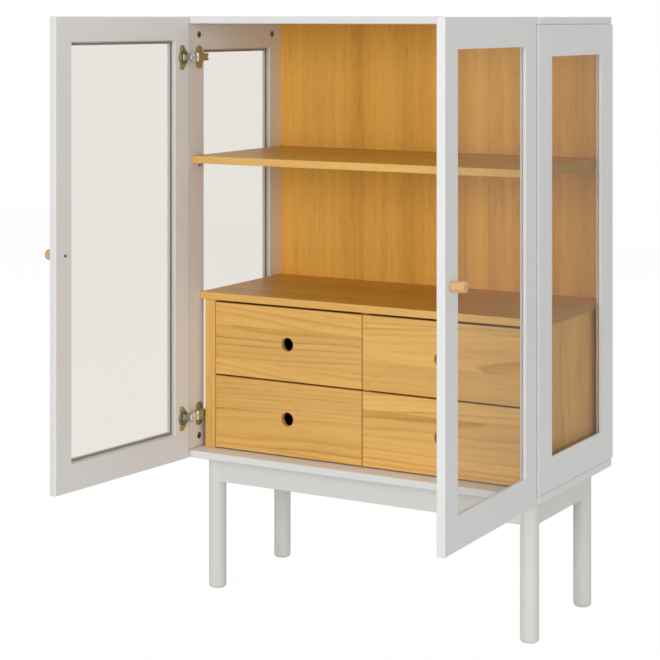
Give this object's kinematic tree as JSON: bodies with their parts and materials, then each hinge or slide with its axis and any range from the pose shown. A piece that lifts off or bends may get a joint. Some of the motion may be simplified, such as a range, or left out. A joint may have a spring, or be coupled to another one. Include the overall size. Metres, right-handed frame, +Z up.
{
  "type": "china cabinet",
  "caption": "Glazed china cabinet on round legs, white outside and pine inside, with hinged doors, a display shelf and drawers on telescopic slides.",
  "frame": {"origin": "on the floor, under the middle of the whole object's box with the doors open as stored", "axes": "+Z up, +Y to the cabinet's back, +X to the right of someone who faces its doors"},
  "size_m": [1.004, 0.8666, 1.335],
  "materials": {
    "white_paint": "satin white paint on wood",
    "cream_paint": "off-white paint on wood",
    "pine": "honey-stained pine, satin varnish",
    "pale_pine": "varnished pine, satin",
    "clear_glass": "clear float glass",
    "zinc": "zinc-plated steel",
    "yellow_zinc": "yellow zinc-plated steel"
  },
  "bodies": {
    "carcass": {"top_panel": "white_paint", "bottom_panel": "white_paint", "left_side_frame": "white_paint", "left_side_glass": "clear_glass", "right_side_frame": "white_paint", "right_side_glass": "clear_glass", "back_panel": "pine", "upper_shelf": "pine", "drawer_unit_top": "pine", "drawer_unit_left_panel": "pine", "drawer_unit_right_panel": "pine", "drawer_unit_partition": "pine", "front_left_leg": "cream_paint", "front_right_leg": "cream_paint", "back_left_leg": "cream_paint", "back_right_leg": "cream_paint", "front_rail": "cream_paint", "back_rail": "cream_paint", "left_rail": "cream_paint", "right_rail": "cream_paint", "left_upper_hinge_arm": "yellow_zinc", "left_lower_hinge_arm": "yellow_zinc", "right_upper_hinge_arm": "yellow_zinc", "right_lower_hinge_arm": "yellow_zinc"},
    "left_door": {"left_door_frame": "white_paint", "left_door_glass": "clear_glass", "left_door_knob": "pale_pine", "left_door_upper_hinge_cup": "yellow_zinc", "left_door_lower_hinge_cup": "yellow_zinc"},
    "right_door": {"right_door_frame": "white_paint", "right_door_glass": "clear_glass", "right_door_knob": "pale_pine", "right_door_upper_hinge_cup": "yellow_zinc", "right_door_lower_hinge_cup": "yellow_zinc"},
    "left_upper_drawer": {"left_upper_drawer_front": "pale_pine", "left_upper_drawer_box": "pine", "left_upper_inboard_drawer_member": "zinc", "left_upper_outboard_drawer_member": "zinc"},
    "left_upper_runners": {"left_upper_inboard_intermediate_member": "zinc", "left_upper_outboard_intermediate_member": "zinc"},
    "left_lower_drawer": {"left_lower_drawer_front": "pale_pine", "left_lower_drawer_box": "pine", "left_lower_inboard_drawer_member": "zinc", "left_lower_outboard_drawer_member": "zinc"},
    "left_lower_runners": {"left_lower_inboard_intermediate_member": "zinc", "left_lower_outboard_intermediate_member": "zinc"},
    "right_upper_drawer": {"right_upper_drawer_front": "pale_pine", "right_upper_drawer_box": "pine", "right_upper_inboard_drawer_member": "zinc", "right_upper_outboard_drawer_member": "zinc"},
    "right_upper_runners": {"right_upper_inboard_intermediate_member": "zinc", "right_upper_outboard_intermediate_member": "zinc"},
    "right_lower_drawer": {"right_lower_drawer_front": "pale_pine", "right_lower_drawer_box": "pine", "right_lower_inboard_drawer_member": "zinc", "right_lower_outboard_drawer_member": "zinc"},
    "right_lower_runners": {"right_lower_inboard_intermediate_member": "zinc", "right_lower_outboard_intermediate_member": "zinc"}
  },
  "joints": [
    {"name": "left_door_hinge", "type": "hinge", "parent": "carcass", "child": "left_door", "pos_m": [-0.42331, 0.00428, 0.8235], "axis": [0, 0, -1], "range_deg": [-95.3, 4.7]},
    {"name": "right_door_hinge", "type": "hinge", "parent": "carcass", "child": "right_door", "pos_m": [0.45369, 0.00428, 0.8235], "axis": [0, 0, 1], "range_deg": [-91.1, 8.9]},
    {"name": "left_upper_drawer_slide", "type": "slide", "parent": "carcass", "child": "left_upper_drawer", "axis": [0, -1, 0], "range_m": [0, 0.336]},
    {"name": "left_upper_runner_slide", "type": "slide", "parent": "carcass", "child": "left_upper_runners", "axis": [0, -1, 0], "range_m": [0, 0.168]},
    {"name": "left_lower_drawer_slide", "type": "slide", "parent": "carcass", "child": "left_lower_drawer", "axis": [0, -1, 0], "range_m": [0, 0.336]},
    {"name": "left_lower_runner_slide", "type": "slide", "parent": "carcass", "child": "left_lower_runners", "axis": [0, -1, 0], "range_m": [0, 0.168]},
    {"name": "right_upper_drawer_slide", "type": "slide", "parent": "carcass", "child": "right_upper_drawer", "axis": [0, -1, 0], "range_m": [0, 0.336]},
    {"name": "right_upper_runner_slide", "type": "slide", "parent": "carcass", "child": "right_upper_runners", "axis": [0, -1, 0], "range_m": [0, 0.168]},
    {"name": "right_lower_drawer_slide", "type": "slide", "parent": "carcass", "child": "right_lower_drawer", "axis": [0, -1, 0], "range_m": [0, 0.336]},
    {"name": "right_lower_runner_slide", "type": "slide", "parent": "carcass", "child": "right_lower_runners", "axis": [0, -1, 0], "range_m": [0, 0.168]}
  ],
  "couplings": [
    {"joint": "left_upper_runner_slide", "follows": "left_upper_drawer_slide", "ratio": 0.5},
    {"joint": "left_lower_runner_slide", "follows": "left_lower_drawer_slide", "ratio": 0.5},
    {"joint": "right_upper_runner_slide", "follows": "right_upper_drawer_slide", "ratio": 0.5},
    {"joint": "right_lower_runner_slide", "follows": "right_lower_drawer_slide", "ratio": 0.5}
  ]
}
